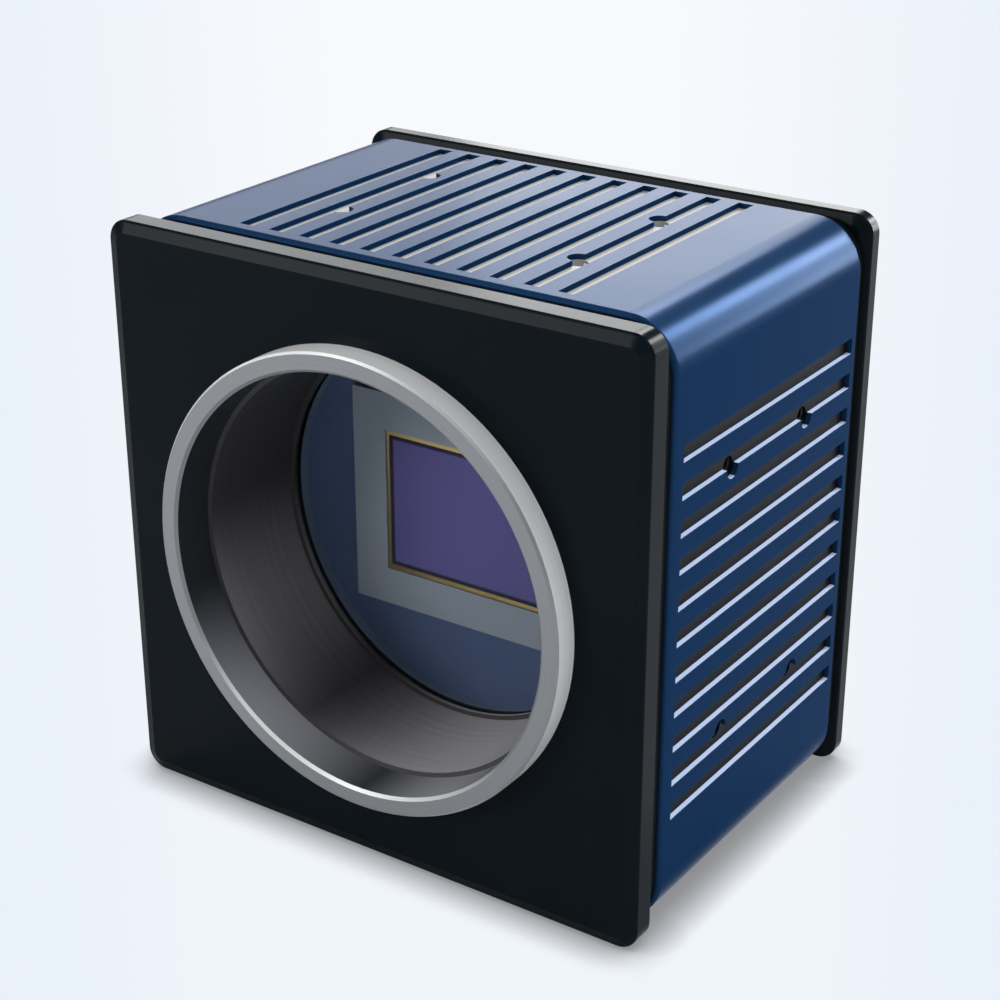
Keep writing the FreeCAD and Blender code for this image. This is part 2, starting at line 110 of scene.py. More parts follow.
class NodeSheet:
    """A node tree with short calls to add nodes and join their sockets."""

    def __init__(self, tree: bpy.types.NodeTree) -> None:
        """Starts from the tree with its nodes cleared."""
        self.tree = tree
        self.tree.nodes.clear()

    def add(self, kind: str, **values: object) -> bpy.types.Node:
        """Adds a node and sets its properties.

        Args:
            kind: The node's type name, such as "ShaderNodeMath".
            values: Properties of the node, such as operation="ADD".

        Returns:
            The new node.
        """
        node = self.tree.nodes.new(kind)
        for name, value in values.items():
            setattr(node, name, value)
        return node

    def join(self, source: Socket, target: Socket) -> None:
        """Joins an output socket to an input socket."""
        self.tree.links.new(source, target)

    def feed(self, target: Socket, value: object) -> None:
        """Joins a socket, or sets a plain value, on an input.

        Args:
            target: The input to fill.
            value: An output socket, or a number, colour or vector.
        """
        if isinstance(value, Socket):
            self.join(value, target)
        else:
            target.default_value = value

    def split(self, vector: Socket) -> Outputs:
        """Splits a vector.

        Args:
            vector: The vector's socket.

        Returns:
            Its parts, under "X", "Y" and "Z".
        """
        node = self.add("ShaderNodeSeparateXYZ")
        self.join(vector, node.inputs[0])
        return node.outputs

    def facing(self, kind: str = "Normal") -> Outputs:
        """Adds the parts of the surface's normal, or of its "True Normal"."""
        return self.split(self.add("ShaderNodeNewGeometry").outputs[kind])

    def calculate(self, kind: str, operation: str, operands: tuple) -> Outputs:
        """Adds a node that calculates.

        Args:
            kind: The node's type name.
            operation: The node's operation.
            operands: Sockets or plain values, in order.

        Returns:
            The node's outputs.
        """
        node = self.add(kind, operation=operation)
        for target, operand in zip(node.inputs, operands):
            self.feed(target, operand)
        return node.outputs

    def maths(self, operation: str, *operands: object) -> Socket:
        """Calculates with sockets and numbers."""
        return self.calculate("ShaderNodeMath", operation, operands)[0]

    def vectors(self, operation: str, *operands: object) -> Socket:
        """Calculates a vector from vectors."""
        return self.calculate("ShaderNodeVectorMath", operation, operands)["Vector"]

    def measure(self, operation: str, *operands: object) -> Socket:
        """Calculates a number from vectors."""
        return self.calculate("ShaderNodeVectorMath", operation, operands)["Value"]

    def product(self, *factors: object) -> Socket:
        """Multiplies sockets and numbers together.

        Args:
            factors: At least two factors.

        Returns:
            Their product.
        """
        result, *others = factors
        for other in others:
            result = self.maths("MULTIPLY", result, other)
        return result

    def within(self, value: Socket, reach: float) -> Socket:
        """Marks where a value lies nearer to 0 than the reach."""
        return self.maths("LESS_THAN", self.maths("ABSOLUTE", value), reach)

    def off_axis(self, place: Socket) -> Socket:
        """Leaves out a place's Y, which gives its way out from the optical axis."""
        return self.vectors("MULTIPLY", place, (1.0, 0.0, 1.0))

    def noise(self, place: object, scale: object, detail: float = 3.0,
              roughness: float = 0.55) -> Socket:
        """Adds a noise texture.

        Args:
            place: Where the noise is read.
            scale: Its scale, in waves a metre.
            detail: Octaves.
            roughness: Share of each next octave.

        Returns:
            The noise's value, around 0.5.
        """
        node = self.add("ShaderNodeTexNoise")
        self.feed(node.inputs["Vector"], place)
        self.feed(node.inputs["Scale"], scale)
        node.inputs["Detail"].default_value = detail
        node.inputs["Roughness"].default_value = roughness
        return node.outputs["Fac"]

    def span(self, value: object, low: object, high: object, start: object = 0.0,
             end: object = 1.0) -> Socket:
        """Maps a value from low..high to start..end and clamps it there.

        Args:
            value: The value to map.
            low: Value that gives start.
            high: Value that gives end.
            start: Result at low.
            end: Result at high.

        Returns:
            The mapped value.
        """
        node = self.add("ShaderNodeMapRange", clamp=True)
        for name, given in zip(("Value", "From Min", "From Max", "To Min", "To Max"),
                               (value, low, high, start, end)):
            self.feed(node.inputs[name], given)
        return node.outputs["Result"]

    def blend(self, factor: object, first: object, second: object) -> Socket:
        """Mixes two colours.

        Args:
            factor: Share of the second colour.
            first: A colour or a socket.
            second: A colour or a socket.

        Returns:
            The mixed colour.
        """
        node = self.add("ShaderNodeMix", data_type="RGBA")
        self.feed(node.inputs["Factor"], factor)
        for name, given in (("A", first), ("B", second)):
            socket = [s for s in node.inputs if s.name == name and s.type == "RGBA"][0]
            self.feed(socket, with_alpha(given) if isinstance(given, tuple) else given)
        return [s for s in node.outputs if s.type == "RGBA"][0]


    def either(self, share: Socket, first: Socket, second: Socket) -> Socket:
        """Mixes two shaders.

        Args:
            share: Share of the second.
            first: A shader.
            second: A shader.

        Returns:
            The mixed shader.
        """
        node = self.add("ShaderNodeMixShader")
        for target, source in zip(node.inputs, (share, first, second)):
            self.join(source, target)
        return node.outputs[0]

    def output(self, kind: str, surface: Socket) -> None:
        """Joins a shader to a new output node."""
        self.join(surface, self.add(kind).inputs["Surface"])


def with_alpha(colour: Colour) -> tuple[float, float, float, float]:
    """Gives a colour its alpha of 1."""
    return (*colour, 1.0)


class MaterialSheet(NodeSheet):
    """The nodes of a new material, with the object's own coordinates as their place."""

    def __init__(self, name: str) -> None:
        """Makes the material.

        Args:
            name: The material's name.
        """
        self.material = bpy.data.materials.new(name)
        self.material.use_nodes = True
        super().__init__(self.material.node_tree)
        self.place = self.add("ShaderNodeTexCoord").outputs["Object"]

    def shared(self, group: bpy.types.NodeTree, **settings: float) -> Outputs:
        """Adds a shared group, read at the sheet's place.

        Args:
            group: The group.
            settings: Values for its other inputs.

        Returns:
            The group's outputs, by name.
        """
        node = self.add("ShaderNodeGroup", node_tree=group)
        self.join(self.place, node.inputs["Place"])
        for name, value in settings.items():
            node.inputs[name].default_value = value
        return node.outputs


class ShaderGroups:
    """The node groups that several finishes share, each built once."""

    FINE_SHARE = 0.35
    BROAD_SHARE = 0.65
    STREAK_SCALE = 0.37
    RIDGE_SHARE = 0.3
    BEVEL_SAMPLES = 4
    TURNED_SPAN = (0.995, 0.93)
    BROKEN_SPAN = (0.42, 0.62)
    BROKEN_SCALE = 700.0

    def __init__(self) -> None:
        """Builds every group."""
        self.grain = self._group("blasted_grain", self._grain, ("Grain", "Mottle"),
                                 ("Height", "Tone"))
        self.turning = self._group("turning_lines", self._turning, ("Pitch", "Waver"),
                                   ("Height", "Streak"))
        self.edges = self._group("worn_edges", self._edges, ("Reach",), ("Mask",))

    def _group(self, name: str, build: Callable, inputs: Iterable[str],
               outputs: Iterable[str]) -> bpy.types.NodeTree:
        """Makes a group with its sockets and fills it.

        Args:
            name: The group's name.
            build: Fills the group, from its sheet and inputs, and returns its results.
            inputs: The names of the inputs besides the place, all plain values.
            outputs: The names of the outputs, all plain values.

        Returns:
            The node group.
        """
        tree = bpy.data.node_groups.new(name, "ShaderNodeTree")
        add_socket = tree.interface.new_socket
        add_socket(name="Place", in_out="INPUT", socket_type="NodeSocketVector")
        for way, labels in (("INPUT", inputs), ("OUTPUT", outputs)):
            for label in labels:
                add_socket(name=label, in_out=way, socket_type="NodeSocketFloat")
        sheet = NodeSheet(tree)
        source = sheet.add("NodeGroupInput")
        target = sheet.add("NodeGroupOutput")
        for label, result in zip(outputs, build(sheet, source.outputs)):
            sheet.join(result, target.inputs[label])
        return tree

    def _grain(self, sheet: NodeSheet, given: Outputs) -> tuple:
        """Lays fine blasted grain over a broad mottle.

        Args:
            sheet: The group's nodes.
            given: The group's inputs.

        Returns:
            The grain's height, and a tone around 0.5.
        """
        fine = sheet.noise(given["Place"], given["Grain"], detail=2.0, roughness=0.6)
        broad = sheet.noise(given["Place"], given["Mottle"], detail=4.0, roughness=0.5)
        tone = sheet.maths("ADD", sheet.product(broad, self.BROAD_SHARE),
                           sheet.product(fine, self.FINE_SHARE))
        return fine, tone

    def _turning(self, sheet: NodeSheet, given: Outputs) -> tuple:
        """Lays lathe lines round the optical axis, on faces and walls alike.

        Args:
            sheet: The group's nodes.
            given: The group's inputs.

        Returns:
            The lines' height, and a streak of tone around 0.5.
        """
        reach = sheet.measure("LENGTH", sheet.off_axis(given["Place"]))
        travel = sheet.maths("ADD", reach, sheet.split(given["Place"])["Y"])
        turns = sheet.maths("DIVIDE", travel, given["Pitch"])
        lines = sheet.add("ShaderNodeCombineXYZ")
        sheet.join(turns, lines.inputs["X"])
        streak = sheet.noise(lines.outputs[0], self.STREAK_SCALE, detail=4.0, roughness=0.6)
        ridge = sheet.maths("SINE", sheet.product(turns, math.tau))
        height = sheet.maths("ADD", sheet.product(ridge, self.RIDGE_SHARE),
                             sheet.product(streak, given["Waver"]))
        return height, streak

    def _edges(self, sheet: NodeSheet, given: Outputs) -> tuple:
        """Finds where the surface turns within the reach, broken up by noise.

        Args:
            sheet: The group's nodes.
            given: The group's inputs, with the reach in millimetres.

        Returns:
            The mask alone.
        """
        rounded = sheet.add("ShaderNodeBevel", samples=self.BEVEL_SAMPLES)
        sheet.join(sheet.product(given["Reach"], MM), rounded.inputs["Radius"])
        normal = sheet.add("ShaderNodeNewGeometry").outputs["Normal"]
        alike = sheet.measure("DOT_PRODUCT", rounded.outputs[0], normal)
        broken = sheet.noise(given["Place"], self.BROKEN_SCALE, detail=5.0, roughness=0.65)
        return (sheet.product(sheet.span(alike, *self.TURNED_SPAN),
                              sheet.span(broken, *self.BROKEN_SPAN)),)


# ---- Finishes ----------------------------------------------------------------------

@dataclass(frozen=True)
class Finish:
    """A finish with plain colour, grain and sheen. Lengths are in metres."""

    name: str
    colour: Colour
    roughness: float = 0.5
    metallic: float = 0.0
    specular: float = 0.3
    ior: float = 1.5
    tone_spread: float = 0.12
    roughness_spread: float = 0.06
    grain_scale: float = 9000.0
    mottle_scale: float = 60.0
    bump: float = 0.05
    bump_depth: float = 0.02 * MM
    wear_colour: Colour | None = None
    wear_reach_mm: float = 0.4
    wear: float = 0.0

    def build(self, groups: ShaderGroups) -> bpy.types.Material:
        """Builds the material.

        Args:
            groups: The shared node groups.

        Returns:
            The finished material.
        """
        sheet = MaterialSheet(self.name)
        shader = sheet.add("ShaderNodeBsdfPrincipled")
        shader.inputs["Metallic"].default_value = self.metallic
        shader.inputs["Specular IOR Level"].default_value = self.specular
        shader.inputs["IOR"].default_value = self.ior
        colour, tone, height = self.surface(sheet, groups)
        if self.wear_colour is not None:
            edges = sheet.shared(groups.edges, Reach=self.wear_reach_mm)
            worn = sheet.product(edges["Mask"], self.wear)
            colour = sheet.blend(worn, colour, self.wear_colour)
        sheet.join(colour, shader.inputs["Base Color"])
        sheet.join(sheet.span(tone, *TONE_SPAN, self.roughness - self.roughness_spread,
                              self.roughness + self.roughness_spread),
                   shader.inputs["Roughness"])
        relief = sheet.add("ShaderNodeBump")
        relief.inputs["Strength"].default_value = self.bump
        relief.inputs["Distance"].default_value = self.bump_depth
        sheet.join(height, relief.inputs["Height"])
        sheet.join(relief.outputs[0], shader.inputs["Normal"])
        self.finish_shader(sheet, shader)
        sheet.output("ShaderNodeOutputMaterial", shader.outputs[0])
        return sheet.material

    def surface(self, sheet: MaterialSheet, groups: ShaderGroups) -> Surface:
        """Lays colour, tone and height over the surface.

        Args:
            sheet: The material's nodes.
            groups: The shared node groups.

        Returns:
            The colour, the tone around 0.5 and the height for the bump.
        """
        grain = sheet.shared(groups.grain, Grain=self.grain_scale, Mottle=self.mottle_scale)
        return self.toned(sheet, grain["Tone"], self.colour), grain["Tone"], grain["Height"]

    def toned(self, sheet: MaterialSheet, tone: Socket, colour: Colour) -> Socket:
        """Lets a colour run a little darker and lighter with the tone.

        Args:
            sheet: The material's nodes.
            tone: A value around 0.5.
            colour: The middle colour.

        Returns:
            The toned colour.
        """
        darker = tuple(max(0.0, c * (1 - self.tone_spread)) for c in colour)
        lighter = tuple(min(1.0, c * (1 + self.tone_spread)) for c in colour)
        return sheet.blend(sheet.span(tone, *TONE_SPAN), darker, lighter)

    def finish_shader(self, sheet: MaterialSheet, shader: bpy.types.Node) -> None:
        """Sets what only some finishes have, on the shader's own sockets."""


class Faced(Enum):
    """Which faces of a piece carry its pale colour painted as light."""

    SLOT_LIPS = "the upward faces inside the side slots"
    TOP_AND_BOTTOM = "all that lies near the top and bottom"


@dataclass(frozen=True)
class FacedFinish(Finish):
    """A finish with a pale colour painted as light on some faces, and painted shade on its flat
    sides where given. Its lengths are in metres.
    """

    painted_light_colour: Colour = field(kw_only=True)
    faced: Faced = Faced.SLOT_LIPS
    faced_inset: float = 0.02 * MM
    faced_depth: float = 5.0 * MM
    faced_half_width: float = 30.0 * MM
    faced_start: float = 11.0 * MM
    faced_end: float = 56.5 * MM
    level_from: float = 0.9
    painted_side_shade_colour: Colour | None = None
    side_metallic: float = 0.0
    side_span: tuple[float, float] = (0.93, 0.998)

    def surface(self, sheet: MaterialSheet, groups: ShaderGroups) -> Surface:
        """Adds the painted side shade and the painted light, with Args and Returns as in
        Finish.surface.
        """
        base, tone, height = super().surface(sheet, groups)
        # Painted shade: the flat sides take a darker copy of the colour.
        if self.painted_side_shade_colour is not None:
            base = sheet.blend(self.painted_side_shade_mask(sheet), base, self.painted_side_shade_colour)
        # Painted light: the slot lips, or the top and bottom, take a pale colour.
        mask = self.painted_lip_highlight_mask if self.faced is Faced.SLOT_LIPS else self.painted_top_light_mask
        return sheet.blend(mask(sheet), base, self.painted_light_colour), tone, height

    def painted_lip_highlight_mask(self, sheet: MaterialSheet) -> Socket:
        """Marks the upward faces inside the side slots, which carry a painted highlight.

        Args:
            sheet: The material's nodes.

        Returns:
            1 on those faces and 0 elsewhere.
        """
        where = sheet.split(sheet.place)
        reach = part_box("body_sleeve")[1].x
        level = sheet.maths("GREATER_THAN", sheet.facing("True Normal")["Z"], self.level_from)
        return sheet.product(level, sheet.within(where["X"], reach - self.faced_inset),
                             sheet.within(where["Z"], reach - self.faced_depth))

    def painted_top_light_mask(self, sheet: MaterialSheet) -> Socket:
        """Marks what lies near the top and bottom, away from the ends and sides, where a pale
        colour is painted as light.

        Args:
            sheet: The material's nodes.

        Returns:
            1 there and 0 elsewhere.
        """
        where = sheet.split(sheet.place)
        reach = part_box("inner_chassis")[1].z
        outer = sheet.maths("GREATER_THAN", sheet.maths("ABSOLUTE", where["Z"]),
                            reach - self.faced_depth)
        middle = sheet.within(where["X"], self.faced_half_width)
        behind = sheet.maths("GREATER_THAN", where["Y"], self.faced_start)
        before = sheet.maths("LESS_THAN", where["Y"], self.faced_end)
        return sheet.product(outer, middle, behind, before)

    def painted_side_shade_mask(self, sheet: MaterialSheet) -> Socket:
        """Marks the flat sides, which carry painted shade, and sinks to 0 on the rounded edges."""
        return sheet.span(sheet.maths("ABSOLUTE", sheet.facing()["X"]), *self.side_span)

    def finish_shader(self, sheet: MaterialSheet, shader: bpy.types.Node) -> None:
        """Makes the flat sides with painted shade and the slot lips with a painted highlight less
        metallic, with Args as in Finish.
        """
        if self.painted_side_shade_colour is not None:
            share = sheet.maths("MAXIMUM", self.painted_side_shade_mask(sheet), self.painted_lip_highlight_mask(sheet))
            dull = sheet.span(share, 0.0, 1.0, self.metallic, self.side_metallic)
            sheet.join(dull, shader.inputs["Metallic"])


class Gleam(NamedTuple):
    """A painted highlight: a soft streak along a bore or chamfer, by its direction round the axis
    in degrees.
    """

    turn: float
    half_width: float
    strength: float = 1.0


@dataclass(frozen=True)
class TurnedFinish(Finish):
    """Metal with fine lathe lines round the optical axis and painted highlights. Its lengths are in
    metres.
    """

    line_pitch: float = 0.12 * MM
    line_waver: float = 0.35
    wall_colour: Colour | None = None
    painted_rim_highlight_colour: Colour | None = None
    rim_reach: float = 29.8 * MM
    painted_gleam_colour: Colour | None = None
    gleams: tuple[Gleam, ...] = ()
    outer_chamfer_gleam: Gleam = Gleam(110.0, 75.0)
    inner_chamfer_gleam: Gleam = Gleam(264.0, 62.0)
    face_from: float = 0.9
    wall_below: float = 0.2

    def surface(self, sheet: MaterialSheet, groups: ShaderGroups) -> Surface:
        """Lays turned metal with its painted highlights, with Args and Returns as in
        Finish.surface.
        """
        turning = sheet.shared(groups.turning, Pitch=self.line_pitch, Waver=self.line_waver)
        streak = turning["Streak"]
        colour = self.toned(sheet, streak, self.colour)
        axial = sheet.facing("True Normal")["Y"]
        sloped = sheet.within(axial, self.face_from)
        wall = sheet.within(axial, self.wall_below)
        if self.wall_colour is not None:
            colour = sheet.blend(wall, colour, self.toned(sheet, streak, self.wall_colour))
        # Painted highlight streaks, placed by their direction round the axis.
        if self.painted_gleam_colour is not None:
            share = sheet.product(sloped, self.painted_gleam_mask(sheet, *self.gleams))
            colour = sheet.blend(share, colour, self.toned(sheet, streak, self.painted_gleam_colour))
        # Painted highlight on the chamfers, by direction round the axis, and a painted reflection
        # over the whole outer wall.
        if self.painted_rim_highlight_colour is not None:
            outer = self.painted_gleam_mask(sheet, self.outer_chamfer_gleam)
            inner = self.painted_gleam_mask(sheet, self.inner_chamfer_gleam)
            inner = sheet.product(inner, sheet.maths("SUBTRACT", 1.0, wall))
            reach = sheet.measure("LENGTH", sheet.off_axis(sheet.place))
            beyond = sheet.maths("GREATER_THAN", reach, self.rim_reach)
            lit = sheet.span(beyond, 0.0, 1.0, inner, sheet.maths("MAXIMUM", outer, wall))
            colour = sheet.blend(sheet.product(sloped, lit), colour,
                                 self.toned(sheet, streak, self.painted_rim_highlight_colour))
        return colour, streak, turning["Height"]

    def painted_gleam_mask(self, sheet: MaterialSheet, *gleams: Gleam) -> Socket:
        """Marks painted highlight streaks that run along the optical axis.

        Args:
            sheet: The material's nodes.
            gleams: At least one streak.

        Returns:
            Each streak's strength in its middle, sinking to 0 at its sides.
        """
        spoke = sheet.vectors("NORMALIZE", sheet.off_axis(sheet.place))
        masks = []
        for gleam in gleams:
            turn = math.radians(gleam.turn)
            dot = sheet.measure("DOT_PRODUCT", spoke, (math.cos(turn), 0.0, math.sin(turn)))
            rise = sheet.span(dot, math.cos(math.radians(gleam.half_width)), 1.0)
            masks.append(sheet.product(rise, rise, gleam.strength))
        return functools.reduce(lambda one, two: sheet.maths("MAXIMUM", one, two), masks)


@dataclass(frozen=True)
class GlassFinish(Finish):
    """Thin optical glass, seen mostly through, with a faint coating sheen."""

    roughness: float = 0.03
    specular: float = 0.05
    ior: float = 1.03
    roughness_spread: float = 0.01
    bump: float = 0.0
    alpha: float = 0.10
    transmission: float = 1.0

    def finish_shader(self, sheet: MaterialSheet, shader: bpy.types.Node) -> None:
        """Sets how clear the glass is."""
        shader.inputs["Transmission Weight"].default_value = self.transmission
        shader.inputs["Alpha"].default_value = self.alpha


@dataclass(frozen=True)
class BoardFinish(Finish):
    """Circuit board with solder mask over faint copper runs. Its lengths are in metres."""

    run_colour: Colour = (0.068, 0.096, 0.172)
    run_pitch: float = 0.8 * MM
    run_length: float = 7.2 * MM
    run_gap: float = 0.096 * MM
    run_share: float = 0.6

    def surface(self, sheet: MaterialSheet, groups: ShaderGroups) -> Surface:
        """Adds the copper runs, with Args and Returns as in Finish.surface."""
        base, tone, _ = super().surface(sheet, groups)
        runs = sheet.add("ShaderNodeTexBrick", offset=0.37, offset_frequency=3)
        turned = sheet.add("ShaderNodeMapping")
        turned.inputs["Rotation"].default_value = (math.pi / 2, 0.0, 0.0)
        sheet.join(sheet.place, turned.inputs["Vector"])
        sheet.join(turned.outputs[0], runs.inputs["Vector"])
        for name, value in (("Scale", 1.0), ("Brick Width", self.run_length),
                            ("Row Height", self.run_pitch), ("Mortar Size", self.run_gap)):
            runs.inputs[name].default_value = value
        mask = runs.outputs["Fac"]
        share = sheet.product(mask, self.run_share)
        return sheet.blend(share, base, self.run_colour), tone, mask


@dataclass(frozen=True)
class StripedFinish(Finish):
    """Plated metal in fine stripes across its length, as bond fingers are."""

    stripe_pitch: float = 0.2 * MM
    stripe_colour: Colour = (0.30, 0.24, 0.10)
    stripe_span: tuple[float, float] = (-0.2, 0.4)
    stripe_share: float = 0.5

    def surface(self, sheet: MaterialSheet, groups: ShaderGroups) -> Surface:
        """Adds the stripes, with Args and Returns as in Finish.surface."""
        base, tone, height = super().surface(sheet, groups)
        where = sheet.split(sheet.place)
        travel = sheet.maths("ADD", where["X"], where["Z"])
        wave = sheet.maths("SINE", sheet.product(travel, math.tau / self.stripe_pitch))
        share = sheet.product(sheet.span(wave, *self.stripe_span), self.stripe_share)
        return sheet.blend(share, base, self.stripe_colour), tone, height


@dataclass(frozen=True)
class DieFinish(Finish):
    """Image sensor die: an even field of tiny lenses with a darker border."""

    border_colour: Colour = (0.03, 0.028, 0.05)
    field_width: float = 23.6 * MM
    field_height: float = 18.2 * MM
    border: float = 0.25 * MM

    def surface(self, sheet: MaterialSheet, groups: ShaderGroups) -> Surface:
        """Adds the border, with Args and Returns as in Finish.surface."""
        base, tone, height = super().surface(sheet, groups)
        where = sheet.split(sheet.place)
        across = sheet.maths("SUBTRACT", sheet.maths("ABSOLUTE", where["X"]),
                             self.field_width / 2)
        up = sheet.maths("SUBTRACT", sheet.maths("ABSOLUTE", where["Z"]),
                         self.field_height / 2)
        outside = sheet.span(sheet.maths("MAXIMUM", across, up), -self.border / 2,
                             self.border / 2)
        return sheet.blend(outside, base, self.border_colour), tone, height


FINISHES: dict[Slot, Finish] = {
    Slot.BLACK_PLATE: Finish(
        "black_anodised_plate", (0.0036, 0.0064, 0.0090), roughness=0.20, specular=0.035,
        grain_scale=7000.0, bump=0.08, roughness_spread=0.03, wear_colour=(0.05, 0.055, 0.06),
        wear=0.2),
    # Painted shade on the flat sides and a painted highlight on the slot lips.
    Slot.BLUE_SLEEVE: FacedFinish(
        "blue_anodised_sleeve", (0.009, 0.034, 0.090), roughness=0.25, metallic=0.20,
        specular=0.005, grain_scale=8000.0, bump=0.08, roughness_spread=0.03, tone_spread=0.06,
        wear_colour=(0.05, 0.11, 0.22), wear=0.15, painted_light_colour=(0.60, 0.72, 1.0),
        painted_side_shade_colour=(0.0022, 0.0200, 0.064)),
    # Painted highlights on the chamfers and the outer wall.
    Slot.BRIGHT_RING: TurnedFinish(
        "turned_bright_ring", (0.232, 0.241, 0.252), roughness=0.34, metallic=0.30, bump=0.08,
        specular=0.25, tone_spread=0.05, roughness_spread=0.05, painted_rim_highlight_colour=(0.95, 0.96, 0.97),
        wall_colour=(0.028, 0.032, 0.036), painted_gleam_colour=(0.44, 0.45, 0.47),
        gleams=(Gleam(236.0, 42.0), Gleam(297.0, 30.0))),
    # Painted highlight streaks in the bore.
    Slot.BLACK_BORE: TurnedFinish(
        "black_turned_bore", (0.050, 0.048, 0.052), roughness=0.45, metallic=0.1, bump=0.08,
        specular=0.2, line_pitch=0.3 * MM, painted_gleam_colour=(0.46, 0.45, 0.45),
        gleams=(Gleam(211.0, 38.0, 0.45), Gleam(291.0, 56.0))),
    Slot.WINDOW: GlassFinish("coated_filter_window", (0.55, 0.70, 0.90)),
    Slot.COVER_GLASS: GlassFinish("sensor_cover_glass", (0.95, 0.97, 1.0), alpha=0.05),
    Slot.SEAL: Finish("seal_rubber", (0.012, 0.012, 0.013), roughness=0.75, bump=0.3, specular=0.2),
    Slot.FRAME: Finish(
        "grey_sensor_frame", (0.15, 0.20, 0.28), roughness=0.5, metallic=0.2, bump=0.15,
        specular=0.1),
    Slot.BOARD: BoardFinish(
        "sensor_board_mask", (0.075, 0.105, 0.185), roughness=0.6, specular=0.05, bump=0.2),
    Slot.CERAMIC: Finish(
        "ceramic_package", (0.25, 0.278, 0.31), roughness=0.7, bump=0.2, specular=0.05,
        grain_scale=5000.0, tone_spread=0.05),
    Slot.GOLD: StripedFinish(
        "gold_plating", (0.50, 0.365, 0.14), roughness=0.32, metallic=0.9, bump=0.05),
    Slot.SILICON: DieFinish(
        "sensor_die", (0.115, 0.098, 0.255), roughness=0.6, specular=0.05, bump=0.02,
        tone_spread=0.03),
    Slot.STEEL: Finish("steel_screws", (0.48, 0.48, 0.47), roughness=0.35, metallic=1.0, bump=0.1),
    Slot.BLACK_HARDWARE: Finish(
        "blackened_screws", (0.020, 0.020, 0.022), roughness=0.40, metallic=0.9, bump=0.15,
        wear_colour=(0.18, 0.18, 0.18), wear=0.3, wear_reach_mm=0.15),
    Slot.THERMAL_PAD: Finish(
        "thermal_pad", (0.22, 0.27, 0.32), roughness=0.85, bump=0.4, specular=0.1),
    Slot.CHIP: Finish(
        "chip_mould", (0.018, 0.018, 0.019), roughness=0.62, bump=0.4, specular=0.25,
        grain_scale=12000.0),
    Slot.CONNECTOR: Finish("connector_moulding", (0.60, 0.56, 0.48), roughness=0.5, bump=0.2),
    Slot.NICKEL: Finish(
        "nickel_plating", (0.56, 0.54, 0.50), roughness=0.24, metallic=1.0, bump=0.06,
        wear_colour=(0.62, 0.52, 0.32), wear=0.2, wear_reach_mm=0.12),
    Slot.INSULATOR: Finish("white_insulator", (0.70, 0.69, 0.66), roughness=0.5, bump=0.15),
    Slot.LIGHT_PIPE: Finish(
        "green_light_pipe", (0.30, 0.62, 0.34), roughness=0.22, bump=0.05, specular=0.5),
}


# A pale colour painted as light on the top and bottom; black on the sides.
CHASSIS_FINISH = FacedFinish(
    "chassis_black_and_milled", (0.006, 0.007, 0.008), roughness=0.45, specular=0.05,
    bump=0.1, painted_light_colour=(0.44, 0.44, 0.43), faced=Faced.TOP_AND_BOTTOM)


def add_object(name: str, data: bpy.types.ID) -> bpy.types.Object:
    """Makes an object and links it to the scene.

    Args:
        name: The object's name.
        data: Its mesh, lamp or camera.

    Returns:
        The object.
    """
    made = bpy.data.objects.new(name, data)
    bpy.context.scene.collection.objects.link(made)
    return made


def mesh_from(name: str, shape: bmesh.types.BMesh) -> bpy.types.Mesh:
    """Turns a shape into a mesh.

    Args:
        name: The mesh's name.
        shape: The shape. It is freed here.

    Returns:
        The mesh.
    """
    mesh = bpy.data.meshes.new(name)
    shape.to_mesh(mesh)
    shape.free()
    return mesh


class Workshop:
    """Holds the built materials and hands out finished pieces."""

    MERGE_DISTANCE = 0.0005 * MM
    SMOOTH_BELOW = math.radians(35.0)

    def __init__(self) -> None:
        """Builds the shared groups and every finish."""
        groups = ShaderGroups()
        self.materials = {slot: finish.build(groups) for slot, finish in FINISHES.items()}
        self.chassis_material = CHASSIS_FINISH.build(groups)

    def dress(self, slot: Slot, *names: str, material: bpy.types.Material | None = None) -> None:
        """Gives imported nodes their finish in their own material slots.

        Args:
            slot: The record's material slot, which gives the finish.
            names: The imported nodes.
            material: A finish of their own, where they have one.
        """
        for name in names:
            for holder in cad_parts[name].material_slots:
                holder.material = material or self.materials[slot]
            log.info("dressed %s in %s", name, slot.value)

    def piece(self, name: str, shape: bmesh.types.BMesh, slot: Slot) -> bpy.types.Object:
        """Turns a finished shape into a piece that rides on the camera.

        Args:
            name: The piece's name.
            shape: The shape, in metres, in its place. It is freed here.
            slot: The material slot that the piece takes its finish from.

        Returns:
            The new object.
        """
        bmesh.ops.remove_doubles(shape, verts=shape.verts, dist=self.MERGE_DISTANCE)
        bmesh.ops.recalc_face_normals(shape, faces=shape.faces)
        for face in shape.faces:
            face.smooth = True
        for edge in shape.edges:
            edge.smooth = edge.calc_face_angle(math.pi) < self.SMOOTH_BELOW
        made = add_object(name, mesh_from(name, shape))
        made.data.materials.append(self.materials[slot])
        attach(made, "root")
        log.info("built %s, %d faces", name, len(made.data.polygons))
        return made


# ---- Shapes ------------------------------------------------------------------------

def stand(shape: bmesh.types.BMesh, start: Vector, direction: Vector) -> None:
    """Turns a shape that stands on the origin along +Z, and moves it to its place.

    Args:
        shape: The shape to move.
        start: Where its foot goes.
        direction: The way it then stands.
    """
    turn = Vector((0, 0, 1)).rotation_difference(direction).to_matrix().to_4x4()
    bmesh.ops.transform(shape, matrix=Matrix.Translation(start) @ turn, verts=shape.verts)


